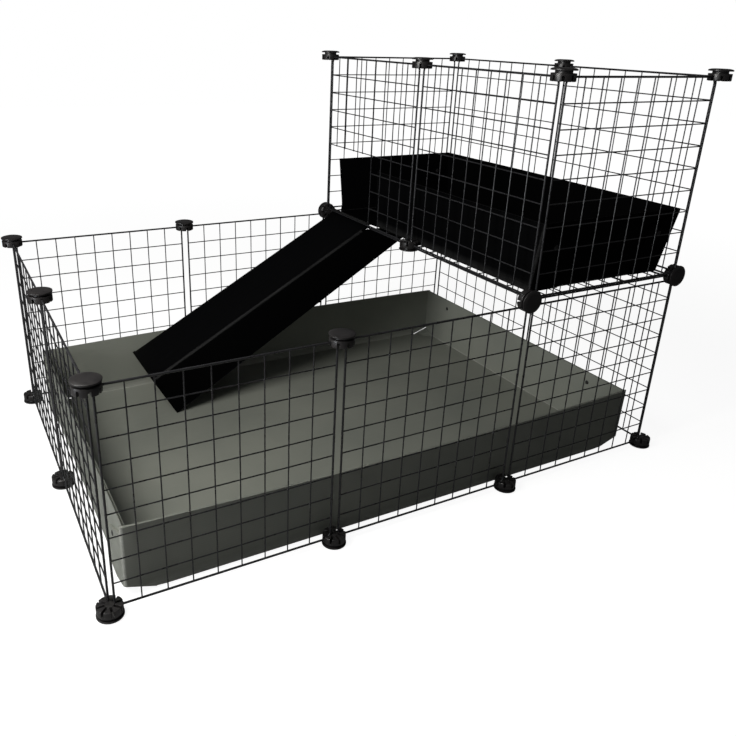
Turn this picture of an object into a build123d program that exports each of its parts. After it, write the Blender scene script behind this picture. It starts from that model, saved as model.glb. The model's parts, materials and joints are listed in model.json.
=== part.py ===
from build123d import *
import os
from math import cos, radians, sin, sqrt, tan

os.makedirs("parts", exist_ok=True)

# Plan of the cage, counted in panels
columns = 3
rows = 2
columns_beside_loft = 2

# Wire grid panels
panel_span = 355.0  # between the centres of two opposite edge wires
panel_squares = 9
edge_wire = 3.6
grid_wire = 2.2
weld_gap = 0.1  # left between the two layers of grid wires where they cross
panel_corner = 12.0  # centre-line radius of a panel's corners
edge_to_line = 7.5  # from an edge wire's centre to the line where panels meet

# Doorway cut in the loft's back left panel, counted in grid squares
doorway_columns = 5
doorway_rows = 4

# Round connectors that hold the panels' corners
connector_radius = 20.5
connector_body_radius = 19.6
connector_cap = 6.0  # from the meeting point of the panels to the cap's face
connector_depth = 14.0  # from the meeting point to the slotted face
cap_flat_radius = 12.0
cap_dome = 1.8
slot_count = 8
connector_chamfer = 0.8
wire_clearance = 0.3

# Folded sheets of corrugated plastic
sheet = 4.0
flap_gap = 0.4
seat_clearance = 0.3
corner_clip_run = 52.0
corner_clip_rise = 18.0

# Base tray
base_tray_end_clearance = 35.0  # from the line where panels meet to the tray's foot
base_tray_side_clearance = 26.0
base_tray_height = 127.0
base_tray_bow = 13.0  # how far the long walls belly out at their top edge
base_tray_lean = 3.0
base_tray_shift = -7.0  # the tray lies a little to the left in the cage

# Corner flaps on the base tray's left and right ends; reaches run along the end wall
left_flap_reach = 95.0
left_flap_height_at_fold = 117.0
left_flap_height_at_tip = 70.0
left_rivet_reach = 56.0
left_rivet_height = 80.0
right_flap_reach = 118.0
right_flap_height_at_fold = 122.0
right_flap_height_at_tip = 117.0
right_rivet_reach = 96.0
right_rivet_height = 104.0

# Loft tray
loft_tray_clearance = 33.0  # from the line where panels meet to the tray's foot
loft_tray_height = 127.0
loft_tray_bow = 3.0
loft_tray_end_lean = 24.0
loft_tray_side_lean = 18.0
loft_tray_shift = 3.0  # off the middle of the loft, towards the right
loft_flap_reach = 70.0
loft_flap_height_at_fold = 120.0
loft_flap_height_at_tip = 96.0
loft_rivet_reach = 34.0
loft_rivet_height = 82.0

# Push rivets
rivet_shank_radius = 2.0
rivet_head_radius = 4.8
rivet_head_height = 1.6
rivet_rim_height = 0.5
rivet_tail_height = 1.2
rivet_hole_clearance = 0.3

# Ramp
ramp_slope = 29.0
ramp_length = 594.0
ramp_door_clearance = 4.7  # from the doorway's side wire to the ramp's front side
ramp_wall_clearance = 6.0  # from the base tray's back wall to the ramp's back side
ramp_skirt_depth = 80.0
ramp_tongue = 84.0  # how far the side skirts run on under the loft
ramp_hook_wrap = 205.0

# Sizes that follow
square = panel_span / panel_squares
pitch = panel_span + 2 * edge_to_line
grid_layer = (grid_wire + weld_gap) / 2
grid_reach = grid_layer + grid_wire / 2
wire_hole = edge_wire / 2 + wire_clearance
levels = [connector_cap + k * pitch for k in range(3)]
lines_x = [(i - columns / 2) * pitch for i in range(columns + 1)]
lines_y = [(j - rows / 2) * pitch for j in range(rows + 1)]
front, back = lines_y[0], lines_y[-1]
left, right = lines_x[0], lines_x[-1]
base_tray_length = right - left - 2 * base_tray_end_clearance
base_tray_width = back - front - 2 * base_tray_side_clearance
loft_left, loft_right = lines_x[columns_beside_loft], lines_x[columns_beside_loft + 1]
loft_tray_length = back - front - 2 * loft_tray_clearance
loft_tray_width = loft_right - loft_left - 2 * loft_tray_clearance
doorway_front = back - edge_to_line - doorway_columns * square


def save(piece, name):
    """Give the finished piece its name and write it out."""
    piece.part.label = name
    export_step(piece.part, f"parts/{name}.step")


def save_copy(shape, name, place):
    """Write one copy of a repeated shape, standing at its place."""
    with BuildPart() as copy:
        with Locations(place):
            add(shape, clean=False)
    save(copy, name)


# Wire grid panel, flat in XY: a bent edge wire and two layers of straight wires welded to it
def grid_panel(open_columns=0, open_rows=0):
    """A doorway of so many squares can be cut from the corner at low x and low y."""
    half = panel_span / 2
    doorway_side = open_columns * square - half
    doorway_top = open_rows * square - half
    with BuildPart() as panel:
        corners = [(-half, -half), (half, -half), (half, half), (-half, half)]
        with BuildLine() as edge:
            FilletPolyline(*corners, radius=panel_corner, close=True)
        with BuildSketch(Plane(origin=edge.line @ 0, z_dir=edge.line % 0)):
            Circle(edge_wire / 2)
        sweep()
        for k in range(1, panel_squares):
            across = k * square - half
            cut_upright = k < open_columns
            low = doorway_top - grid_wire / 2 if cut_upright else -half
            with Locations(Location((across, (low + half) / 2, grid_layer), (90, 0, 0))):
                Cylinder(grid_wire / 2, half - low)
            cut_level = k < open_rows
            low = doorway_side - grid_wire / 2 if cut_level else -half
            with Locations(Location(((low + half) / 2, across, -grid_layer), (0, 90, 0))):
                Cylinder(grid_wire / 2, half - low)
    return panel.part


panel_shape = grid_panel()
door_shape = grid_panel(doorway_columns, doorway_rows)

middles_x = [(a + b) / 2 for a, b in zip(lines_x, lines_x[1:])]
middles_y = [(a + b) / 2 for a, b in zip(lines_y, lines_y[1:])]
base_middle = (levels[0] + levels[1]) / 2
loft_middle = (levels[1] + levels[2]) / 2
loft_middle_x = (loft_left + loft_right) / 2


def facing_front(x, z):
    return Plane(origin=(x, front, z), x_dir=(1, 0, 0), z_dir=(0, -1, 0))


def facing_back(x, z):
    return Plane(origin=(x, back, z), x_dir=(-1, 0, 0), z_dir=(0, 1, 0))


def facing_left(x, y, z):
    return Plane(origin=(x, y, z), x_dir=(0, -1, 0), z_dir=(-1, 0, 0))


def facing_right(x, y, z):
    return Plane(origin=(x, y, z), x_dir=(0, 1, 0), z_dir=(1, 0, 0))


# Walls of the base, one panel high
for number, x in enumerate(middles_x, 1):
    save_copy(panel_shape, f"front_panel_{number}", facing_front(x, base_middle))
    save_copy(panel_shape, f"back_panel_{number}", facing_back(x, base_middle))
for number, y in enumerate(middles_y, 1):
    save_copy(panel_shape, f"left_panel_{number}", facing_left(left, y, base_middle))
    save_copy(panel_shape, f"right_panel_{number}", facing_right(right, y, base_middle))

# Floor and walls of the loft
for number, y in enumerate(middles_y, 1):
    floor_place = Plane(origin=(loft_middle_x, y, levels[1]))
    save_copy(panel_shape, f"loft_floor_panel_{number}", floor_place)
    save_copy(panel_shape, f"loft_right_panel_{number}", facing_right(loft_right, y, loft_middle))
save_copy(panel_shape, "loft_front_panel", facing_front(loft_middle_x, loft_middle))
save_copy(panel_shape, "loft_back_panel", facing_back(loft_middle_x, loft_middle))
save_copy(panel_shape, "loft_left_panel", facing_left(loft_left, middles_y[0], loft_middle))
save_copy(door_shape, "loft_door_panel", facing_left(loft_left, middles_y[1], loft_middle))

# Connector: a domed cap below, a groove round the rim for panels in its own plane,
# and slots above for panels that stand on it; the panels meet at its origin
corner_centre = edge_to_line + panel_corner
face_offset = min(connector_depth - corner_centre, 0)
wire_at_face = corner_centre - sqrt(panel_corner**2 - face_offset**2)
hub_radius = wire_at_face - wire_hole
groove_floor_radius = sqrt(2) * corner_centre - panel_corner - wire_hole
slot_floor = edge_to_line - wire_hole
slot_length = connector_radius - hub_radius + wire_clearance
with BuildPart() as connector:
    with BuildSketch(Plane.XZ):
        with BuildLine():
            cap_rim = (connector_radius, cap_dome - connector_cap)
            body_rim = (connector_body_radius, connector_depth - connector_chamfer)
            Line((0, -connector_cap), (cap_flat_radius, -connector_cap))
            TangentArc((cap_flat_radius, -connector_cap), cap_rim, tangent=(1, 0))
            Polyline(
                cap_rim,
                (connector_radius, -wire_hole),
                (groove_floor_radius, -wire_hole),
                (groove_floor_radius, wire_hole),
                (connector_body_radius, wire_hole),
                body_rim,
                (connector_body_radius - connector_chamfer, connector_depth),
                (0, connector_depth),
                (0, -connector_cap),
            )
        make_face()
    revolve(axis=Axis.Z)
    with BuildSketch(Plane.XY.offset(slot_floor)):
        with PolarLocations(hub_radius + slot_length / 2, slot_count):
            Rectangle(slot_length, 2 * wire_hole)
    extrude(amount=connector_depth, mode=Mode.SUBTRACT)
connector_shape = connector.part


def cap_towards(direction, x, y, z):
    """The place of a connector whose cap looks along the given direction."""
    turned = [-component for component in direction]
    return Plane(origin=(x, y, z), z_dir=turned)


down, up = (0, 0, -1), (0, 0, 1)
rim_points = [(x, y) for y in lines_y for x in lines_x if y in (front, back) or x in (left, right)]
loft_points = [(x, y) for y in lines_y for x in (loft_left, loft_right)]

# Feet under the base, with their caps on the floor
for number, (x, y) in enumerate(rim_points, 1):
    save_copy(connector_shape, f"foot_connector_{number}", cap_towards(down, x, y, levels[0]))

# Connectors along the base's open rim, caps up
open_rim = [point for point in rim_points if point not in loft_points]
for number, (x, y) in enumerate(open_rim, 1):
    save_copy(connector_shape, f"rim_connector_{number}", cap_towards(up, x, y, levels[1]))

# Connectors at the loft's floor look outwards, and down under its free edge
for number, (x, y) in enumerate(loft_points, 1):
    outwards = down
    if y == front:
        outwards = (0, -1, 0)
    elif y == back:
        outwards = (0, 1, 0)
    elif x == loft_right:
        outwards = (1, 0, 0)
    place = cap_towards(outwards, x, y, levels[1])
    save_copy(connector_shape, f"loft_connector_{number}", place)

# Connectors on top of the loft, caps up
for number, (x, y) in enumerate(loft_points, 1):
    save_copy(connector_shape, f"top_connector_{number}", cap_towards(up, x, y, levels[2]))


# Folded trays, long side along X, underside at z = 0
def tray_block(length, width, height, end_lean, side_lean, bow):
    """A block with leaning sides whose long sides belly out at the top."""
    half_length = length / 2 + end_lean
    half_width = width / 2 + side_lean
    near_left, near_right = (-half_length, -half_width), (half_length, -half_width)
    far_left, far_right = (-half_length, half_width), (half_length, half_width)
    with BuildPart() as block:
        with BuildSketch(Plane.XY):
            Rectangle(length, width)
        with BuildSketch(Plane.XY.offset(height)):
            with BuildLine():
                ThreePointArc(near_left, (0, -half_width - bow), near_right)
                Line(near_right, far_right)
                ThreePointArc(far_right, (0, half_width + bow), far_left)
                Line(far_left, near_left)
            make_face()
        loft()
    return block.part


def end_wall_x(shape, end, depth, z):
    """X of a point in an end wall, by its depth behind the outer face and its height."""
    length, height, end_lean = shape[0], shape[2], shape[3]
    return end * (length / 2 - depth + end_lean * z / height)


def upright_slab(shape, low, side, other_side):
    """A slab right across the tray, up past its rim, between two faces parallel to end walls."""
    over = shape[2] + sheet
    corners = [(side, low), (other_side, low), (other_side, over), (side, over)]
    outline = [(end_wall_x(shape, *face, z), z) for face, z in corners]
    with BuildPart() as slab:
        with BuildSketch(Plane.XZ):
            with BuildLine():
                Polyline(*outline, close=True)
            make_face()
        extrude(amount=shape[1], both=True)
    return slab.part


def flap_waste(shape, end, edge, flap):
    """What is trimmed from half of an end wall's outer layer to leave its corner flap."""
    width, height, side_lean = shape[1], shape[2], shape[4]
    over = height + sheet
    past_corner = width / 2 + side_lean + sheet
    profile = [(past_corner, -sheet)]
    if flap:
        reach, height_at_fold, height_at_tip = flap
        tip = width / 2 - reach
        profile = [(tip, -sheet), (tip, height_at_tip), (past_corner, height_at_fold)]
    outline = [(0, -sheet), *[(edge * y, z) for y, z in profile], (edge * past_corner, over), (0, over)]
    with BuildPart() as waste:
        add(upright_slab(shape, -sheet, (end, -sheet), (end, sheet + flap_gap)))
        with BuildSketch(Plane.YZ):
            with BuildLine():
                Polyline(*outline, close=True)
            make_face()
        extrude(amount=end * shape[0], mode=Mode.INTERSECT)
    return waste.part


def rivet_place(shape, end, edge, spot):
    """The plane on a flap's outer face where its rivet sits."""
    length, width, height, end_lean, side_lean, bow = shape
    reach, rise = spot
    x = end * (length / 2 + end_lean * rise / height)
    y = edge * (width / 2 + side_lean * rise / height - reach)
    return Plane(origin=(x, y, rise), x_dir=(0, 1, 0), z_dir=(end * height, 0, -end_lean))


def folded_tray(shape, flaps, rivet_spots):
    """One scored and folded sheet: a floor, four walls and a flap round each joined corner."""
    length, width = shape[0], shape[1]
    wall_face = sheet + flap_gap
    inside_face = wall_face + sheet
    with BuildPart() as layers:
        add(upright_slab(shape, sheet, (-1, inside_face), (1, inside_face)))
        for end in (-1, 1):
            add(upright_slab(shape, -sheet, (end, sheet), (end, wall_face)))
        for (end, edge), flap in flaps.items():
            add(flap_waste(shape, end, edge, flap))
    with BuildPart() as hollow:
        add(tray_block(length, width - 2 * sheet, *shape[2:]))
        add(layers.part, mode=Mode.INTERSECT)
    with BuildPart() as tray:
        add(tray_block(*shape))
        add(hollow.part, mode=Mode.SUBTRACT)
        for end, edge in flaps:
            clip_top = (end * length / 2, edge * width / 2, corner_clip_rise)
            inwards = (-end / corner_clip_run, -edge / corner_clip_run, 1 / corner_clip_rise)
            split(bisect_by=Plane(origin=clip_top, z_dir=inwards), keep=Keep.TOP)
        for (end, edge), spot in rivet_spots.items():
            with Locations(rivet_place(shape, end, edge, spot)):
                hole_radius = rivet_shank_radius + rivet_hole_clearance
                Cylinder(hole_radius, 4 * inside_face, mode=Mode.SUBTRACT)
    return tray.part


def tray_rivets(shape, rivet_spots):
    """A push rivet through each flap and the end wall behind it."""
    grip = 2 * sheet + flap_gap
    head_rim = (rivet_head_radius, rivet_rim_height)
    with BuildPart() as rivet:
        with BuildSketch(Plane.XZ):
            with BuildLine():
                TangentArc((0, rivet_head_height), head_rim, tangent=(1, 0))
                Polyline(
                    head_rim,
                    (rivet_head_radius, 0),
                    (rivet_shank_radius, 0),
                    (rivet_shank_radius, -grip),
                    (rivet_head_radius, -grip),
                    (rivet_head_radius, -grip - rivet_tail_height / 2),
                    (rivet_shank_radius, -grip - rivet_tail_height),
                    (0, -grip - rivet_tail_height),
                    (0, rivet_head_height),
                )
            make_face()
        revolve(axis=Axis.Z)
    with BuildPart() as group:
        for (end, edge), spot in rivet_spots.items():
            with Locations(rivet_place(shape, end, edge, spot)):
                add(rivet.part)
    return group.part


# Base tray: four corner flaps on its short end walls, each held by one rivet
base_shape = (base_tray_length, base_tray_width, base_tray_height, 0.0, base_tray_lean, base_tray_bow)
base_flaps = {}
base_rivet_spots = {}
for edge in (-1, 1):
    base_flaps[-1, edge] = (left_flap_reach, left_flap_height_at_fold, left_flap_height_at_tip)
    base_flaps[1, edge] = (right_flap_reach, right_flap_height_at_fold, right_flap_height_at_tip)
    base_rivet_spots[-1, edge] = (left_rivet_reach, left_rivet_height)
    base_rivet_spots[1, edge] = (right_rivet_reach, right_rivet_height)
base_place = Plane(origin=(base_tray_shift, 0, 0))
save_copy(folded_tray(base_shape, base_flaps, base_rivet_spots), "base_tray", base_place)
save_copy(tray_rivets(base_shape, base_rivet_spots), "base_tray_rivets", base_place)

# Ramp: a deck with its sides folded down, hooked round the doorway's bottom wire
hinge_x = loft_left
hinge_z = levels[1] + edge_to_line
slope = radians(ramp_slope)
hook_inner = wire_hole
hook_outer = wire_hole + sheet
foot_z = sheet + seat_clearance
loft_underside = levels[1] - grid_reach - seat_clearance


def ramp_point(along, above):
    """A point by its distance down the slope from the hinge and above the line through it."""
    x = hinge_x - along * cos(slope) - above * sin(slope)
    z = hinge_z - along * sin(slope) + above * cos(slope)
    return (x, z)


foot_top = ramp_point(ramp_length, -hook_inner)
foot_depth = (foot_top[1] - foot_z) / cos(slope)
deck_at_underside = (
    hinge_x - (hinge_z - hook_inner / cos(slope) - loft_underside) / tan(slope),
    loft_underside,
)
tongue_low = ramp_point(-ramp_tongue, -hook_inner - ramp_skirt_depth)
ramp_front = doorway_front + ramp_door_clearance
ramp_back = base_tray_width / 2 - sheet - ramp_wall_clearance
with BuildPart() as ramp:
    with BuildSketch(Plane.XZ.offset(-ramp_back)):
        with BuildLine():
            start = ramp_slope - 90
            inner_arc = CenterArc((hinge_x, hinge_z), hook_inner, start, ramp_hook_wrap)
            outer_arc = CenterArc((hinge_x, hinge_z), hook_outer, start, ramp_hook_wrap)
            Line(inner_arc @ 1, outer_arc @ 1)
            Polyline(inner_arc @ 0, foot_top, ramp_point(ramp_length, -hook_outer), outer_arc @ 0)
        make_face()
    extrude(amount=ramp_back - ramp_front)
    for side in (ramp_back, ramp_front + sheet):
        with BuildSketch(Plane.XZ.offset(-side)):
            with BuildLine():
                Polyline(
                    foot_top,
                    ramp_point(ramp_length, -hook_inner - foot_depth),
                    tongue_low,
                    (tongue_low[0], loft_underside),
                    deck_at_underside,
                    close=True,
                )
            make_face()
        extrude(amount=sheet)
save(ramp, "ramp")

# Loft tray: it lies on the loft's floor, with its left wall cut away at the doorway
loft_shape = (
    loft_tray_length,
    loft_tray_width,
    loft_tray_height,
    loft_tray_end_lean,
    loft_tray_side_lean,
    loft_tray_bow,
)
loft_flaps = {(1, 1): None}
loft_rivet_spots = {}
for corner in ((-1, -1), (-1, 1), (1, -1)):
    loft_flaps[corner] = (loft_flap_reach, loft_flap_height_at_fold, loft_flap_height_at_tip)
    loft_rivet_spots[corner] = (loft_rivet_reach, loft_rivet_height)
wall_inside = loft_tray_width / 2 - sheet
with BuildPart() as loft_tray_flat:
    add(folded_tray(loft_shape, loft_flaps, loft_rivet_spots))
    with Locations((doorway_front, wall_inside, sheet)):
        Box(loft_tray_length, loft_tray_width, loft_tray_height, align=Align.MIN, mode=Mode.SUBTRACT)
tray_seat = levels[1] + grid_reach + seat_clearance
loft_place = Plane(
    origin=(loft_middle_x + loft_tray_shift, 0, tray_seat),
    x_dir=(0, 1, 0),
    z_dir=(0, 0, 1),
)
save_copy(loft_tray_flat.part, "loft_tray", loft_place)
save_copy(tray_rivets(loft_shape, loft_rivet_spots), "loft_tray_rivets", loft_place)

print("cage", right - left, "x", back - front, "x", levels[2] + connector_cap, "between cap faces")
print("ramp side folds", round(foot_depth, 1), "deep at the foot")
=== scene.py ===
# %% [markdown]
# # A cage of wire grid panels with folded plastic trays
#
# The real thing is a kit. Square panels of welded wire push into slotted round connectors, one
# folded sheet of fluted plastic is the floor with its kerb, a second one lines the loft, and a
# third, folded into a channel and hooked over the doorway's bottom wire, is the ramp.
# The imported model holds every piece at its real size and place, so nothing is fitted here.
# This script gives each piece the surface that a hand would feel: drawn and welded wire, moulded
# caps, and sheets with rounded folds and open flutes along their cut edges.

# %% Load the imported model
import json
from math import cos, pi, radians, sin, sqrt, tan
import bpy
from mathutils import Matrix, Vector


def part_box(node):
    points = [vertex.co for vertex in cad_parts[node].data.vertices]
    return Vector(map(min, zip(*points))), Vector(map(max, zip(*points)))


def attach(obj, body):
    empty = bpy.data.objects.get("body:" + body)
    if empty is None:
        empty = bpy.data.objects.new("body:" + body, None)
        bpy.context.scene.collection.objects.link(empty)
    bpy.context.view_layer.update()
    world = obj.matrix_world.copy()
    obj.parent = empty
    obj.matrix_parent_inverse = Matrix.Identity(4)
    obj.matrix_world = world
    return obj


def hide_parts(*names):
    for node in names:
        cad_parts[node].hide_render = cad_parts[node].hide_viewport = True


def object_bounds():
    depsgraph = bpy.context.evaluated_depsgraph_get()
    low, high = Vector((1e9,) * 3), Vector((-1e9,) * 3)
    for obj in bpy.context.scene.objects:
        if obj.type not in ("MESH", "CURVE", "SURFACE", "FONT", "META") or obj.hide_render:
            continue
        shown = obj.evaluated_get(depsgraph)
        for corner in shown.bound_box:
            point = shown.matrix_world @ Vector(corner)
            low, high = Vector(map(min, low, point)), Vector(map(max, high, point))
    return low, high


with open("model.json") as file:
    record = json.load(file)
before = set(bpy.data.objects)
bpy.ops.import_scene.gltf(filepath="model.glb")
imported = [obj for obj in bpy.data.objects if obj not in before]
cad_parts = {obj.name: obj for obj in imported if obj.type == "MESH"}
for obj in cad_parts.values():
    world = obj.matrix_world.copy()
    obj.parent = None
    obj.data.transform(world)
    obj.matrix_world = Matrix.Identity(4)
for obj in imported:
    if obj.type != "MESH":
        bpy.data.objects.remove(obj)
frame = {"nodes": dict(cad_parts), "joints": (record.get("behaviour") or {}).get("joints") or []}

from types import SimpleNamespace as Sizes

import bmesh
import bpy
from mathutils import Matrix, Vector

cad_low, cad_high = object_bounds()
scene = bpy.context.scene
print("nodes", len(frame["nodes"]), "box", cad_low, cad_high)

# %% [markdown]
# ## Small tools for node trees
#
# Shader trees and geometry trees are both made of nodes and links. A helper that adds a node,
# sets its options and fills its sockets in one call keeps every tree below short. A socket is
# filled with a plain value, or with another node's output, and then it becomes a link.


# %% Helpers for nodes
def put(tree, kind, sockets=None, **options):
    """Adds a node and returns it; sockets are given by name or by number."""
    node = tree.nodes.new(kind)
    for option, value in options.items():
        setattr(node, option, value)
    for key, value in (sockets or {}).items():
        if isinstance(value, bpy.types.NodeSocket):
            tree.links.new(value, node.inputs[key])
        else:
            node.inputs[key].default_value = value
    return node


def maths(tree, operation, first, second=0.0):
    """A sum of two numbers or outputs."""
    return put(tree, "ShaderNodeMath", {0: first, 1: second}, operation=operation).outputs[0]


def vector_maths(tree, operation, sockets):
    """A sum of vectors."""
    return put(tree, "ShaderNodeVectorMath", sockets, operation=operation).outputs[0]


def noise(tree, vector, scale, detail=2.0):
    """Cloudy values from 0 to 1."""
    sockets = {"Vector": vector, "Scale": scale, "Detail": detail}
    return put(tree, "ShaderNodeTexNoise", sockets).outputs[0]


def spread(tree, value, low, high):
    """Stretches noise, which stays near its middle, between two values."""
    sockets = {"Value": value, "From Min": 0.3, "From Max": 0.7, "To Min": low, "To Max": high}
    return put(tree, "ShaderNodeMapRange", sockets).outputs[0]


def blend_colours(tree, factor, first, second):
    """A colour between two colours."""
    return put(tree, "ShaderNodeMix", {0: factor, 6: first, 7: second}, data_type="RGBA").outputs[2]


def new_material(name):
    """A material with its node tree and its main shader."""
    material = bpy.data.materials.new(name)
    material.use_nodes = True
    return material, material.node_tree, material.node_tree.nodes["Principled BSDF"]


print("node helpers ready")

# %% [markdown]
# ## Finishes
#
# Powder coat is sprayed on dry and melted, so black wire keeps a fine orange-peel skin and soft
# highlights. The connectors are moulded in a lightly textured black plastic. Both patterns read
# Object coordinates, so they stay on the piece when a joint moves it.

# %% Powder-coated wire
coat_colour = (0.010, 0.010, 0.011, 1.0)
coat_peel_size = 900.0
coat_peel_height = 0.00006
coat_patch_size = 35.0


def powder_coat():
    """Glossy black coating with orange peel and slightly duller patches."""
    material, tree, shader = new_material("black_powder_coat")
    place = put(tree, "ShaderNodeTexCoord").outputs["Object"]
    peel = noise(tree, place, coat_peel_size)
    patches = noise(tree, place, coat_patch_size, 3.0)
    bump = put(tree, "ShaderNodeBump", {"Strength": 0.35, "Distance": coat_peel_height, "Height": peel})
    tree.links.new(bump.outputs["Normal"], shader.inputs["Normal"])
    tree.links.new(spread(tree, patches, 0.22, 0.36), shader.inputs["Roughness"])
    dusty = tuple(2.2 * channel for channel in coat_colour[:3]) + (1.0,)
    tree.links.new(blend_colours(tree, patches, coat_colour, dusty), shader.inputs["Base Color"])
    shader.inputs["Specular IOR Level"].default_value = 0.5
    return material


wire_finish = powder_coat()
print("made", wire_finish.name)

# %% Moulded connector and rivet plastic
moulded_colour = (0.009, 0.0085, 0.009, 1.0)
moulded_worn = (0.022, 0.020, 0.020, 1.0)
mould_grain_size = 2200.0
mould_cloud_size = 70.0


def moulded_plastic(name, shine, low_roughness, high_roughness):
    """Black plastic with the fine grain of an etched mould and faint flow clouds."""
    material, tree, shader = new_material(name)
    place = put(tree, "ShaderNodeTexCoord").outputs["Object"]
    grain = noise(tree, place, mould_grain_size, 1.0)
    clouds = noise(tree, place, mould_cloud_size, 4.0)
    bump = put(tree, "ShaderNodeBump", {"Strength": 0.3, "Distance": 0.00005, "Height": grain})
    tree.links.new(bump.outputs["Normal"], shader.inputs["Normal"])
    tree.links.new(spread(tree, clouds, low_roughness, high_roughness), shader.inputs["Roughness"])
    tree.links.new(blend_colours(tree, clouds, moulded_colour, moulded_worn), shader.inputs["Base Color"])
    shader.inputs["Specular IOR Level"].default_value = shine
    return material


connector_finish = moulded_plastic("black_moulded_connector", 0.45, 0.28, 0.42)
rivet_finish = moulded_plastic("black_push_rivet", 0.35, 0.35, 0.5)
print("made", connector_finish.name, rivet_finish.name)

# %% [markdown]
# ## Fluted plastic sheet
#
# Twin-wall sheet is two thin skins joined by ribs every few millimetres. The ribs print through
# the skin as faint ridges, and faint lines along them are painted into the colour: painted light
# and shade standing in for light that shines through the sheet between the ribs. The sheet scuffs
# along them, and a scored fold whitens. All three follow the flat sheet and not the room, so they
# read a UV map that unfolds the sheet, in metres, with its first axis along the flutes. How
# sharply the sheet is folded is a number on each vertex.

# %% Sheet finish
flute_map = "flat_sheet"
fold_mark = "fold"
flute_pitch = 0.0042
sheet_cloud_size = 4.5
scuff_stretch = (14.0, 700.0, 1.0)
# painted light and shade: how strongly the rib lines darken and lighten the colour, for light through the
# sheet
painted_rib_shade = 0.08


def fluted_sheet(name, colour, deeper, crease, shine, low_roughness, high_roughness):
    """Extruded sheet: rib ridges with painted light-through stripes, long scuffs and whitened folds."""
    material, tree, shader = new_material(name)
    flat = put(tree, "ShaderNodeUVMap", uv_map=flute_map).outputs["UV"]
    across = put(tree, "ShaderNodeSeparateXYZ", {0: flat}).outputs["Y"]
    ribs = maths(tree, "SINE", maths(tree, "MULTIPLY", across, 2 * pi / flute_pitch))
    place = put(tree, "ShaderNodeTexCoord").outputs["Object"]
    clouds = noise(tree, place, sheet_cloud_size, 4.0)
    along = put(tree, "ShaderNodeMapping", {"Vector": flat, "Scale": scuff_stretch}).outputs[0]
    scuffs = noise(tree, along, 1.0, 3.0)
    # painted light and shade: rib stripes for light through the sheet, added to random mottling clouds
    mottle_and_rib_light = maths(tree, "ADD", maths(tree, "MULTIPLY", ribs, painted_rib_shade), spread(tree, clouds, 0.1, 0.9))
    body = blend_colours(tree, mottle_and_rib_light, colour, deeper)
    fold = put(tree, "ShaderNodeAttribute", attribute_name=fold_mark).outputs["Fac"]
    whitened = maths(tree, "MULTIPLY", fold, spread(tree, scuffs, 0.15, 0.6))
    tree.links.new(blend_colours(tree, whitened, body, crease), shader.inputs["Base Color"])
    height = maths(tree, "ADD", ribs, scuffs)
    bump = put(tree, "ShaderNodeBump", {"Strength": 0.3, "Distance": 0.00008, "Height": height})
    tree.links.new(bump.outputs["Normal"], shader.inputs["Normal"])
    tree.links.new(spread(tree, scuffs, low_roughness, high_roughness), shader.inputs["Roughness"])
    shader.inputs["Specular IOR Level"].default_value = shine
    return material


grey_sheet = fluted_sheet(
    "grey_green_fluted_sheet",
    colour=(0.225, 0.232, 0.200, 1.0),
    deeper=(0.170, 0.180, 0.158, 1.0),
    crease=(0.42, 0.42, 0.39, 1.0),
    shine=0.5,
    low_roughness=0.36,
    high_roughness=0.52,
)
black_sheet = fluted_sheet(
    "black_fluted_sheet",
    colour=(0.0014, 0.0014, 0.0016, 1.0),
    deeper=(0.0008, 0.0009, 0.0011, 1.0),
    crease=(0.035, 0.035, 0.035, 1.0),
    shine=0.03,
    low_roughness=0.42,
    high_roughness=0.6,
)
print("made", grey_sheet.name, black_sheet.name)

# %% [markdown]
# ## Keeping what Geometry Nodes make
#
# Geometry Nodes suit what repeats: a panel is sixteen straight wires and sixty-four welds, and a
# cut edge of the sheet is a hundred open flutes. Each tree has named inputs. The result is turned
# into a plain mesh, because a finished piece should carry no live modifier of this kind.


# %% Helpers for geometry trees
def new_tree(name, inputs):
    """An empty geometry tree with named inputs, and the outputs of its input node."""
    tree = bpy.data.node_groups.new(name, "GeometryNodeTree")
    for label, kind in inputs.items():
        tree.interface.new_socket(name=label, in_out="INPUT", socket_type="NodeSocket" + kind)
    tree.interface.new_socket(name="Mesh", in_out="OUTPUT", socket_type="NodeSocketGeometry")
    return tree, tree.nodes.new("NodeGroupInput").outputs


def end_tree(tree, parts, material):
    """Joins the parts, realizes them, gives them their material and ends the tree."""
    joined = tree.nodes.new("GeometryNodeJoinGeometry")
    for part in parts:
        tree.links.new(part, joined.inputs[0])
    real = put(tree, "GeometryNodeRealizeInstances", {0: joined.outputs[0]})
    painted = put(tree, "GeometryNodeSetMaterial", {"Geometry": real.outputs[0], "Material": material})
    put(tree, "NodeGroupOutput", {0: painted.outputs[0]})


def linked_object(name, mesh):
    """An object at the origin that shows the mesh."""
    holder = bpy.data.objects.new(name, mesh)
    scene.collection.objects.link(holder)
    return holder


def plain_mesh(holder, name):
    """The mesh that an object's modifiers give; the object itself goes away."""
    depsgraph = bpy.context.evaluated_depsgraph_get()
    mesh = bpy.data.meshes.new_from_object(holder.evaluated_get(depsgraph), depsgraph=depsgraph)
    bpy.data.objects.remove(holder)
    mesh.name = name
    return mesh


def grow(tree, name, material, values):
    """Runs a tree with the given inputs and returns a plain mesh."""
    holder = linked_object(name, bpy.data.meshes.new(name))
    modifier = holder.modifiers.new("grow", "NODES")
    modifier.node_group = tree
    for item in tree.interface.items_tree:
        if item.item_type == "SOCKET" and item.in_out == "INPUT":
            modifier[item.identifier] = material if item.name == "Material" else values[item.name]
    mesh = plain_mesh(holder, name)
    mesh.materials.clear()
    mesh.materials.append(material)
    return mesh


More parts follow.
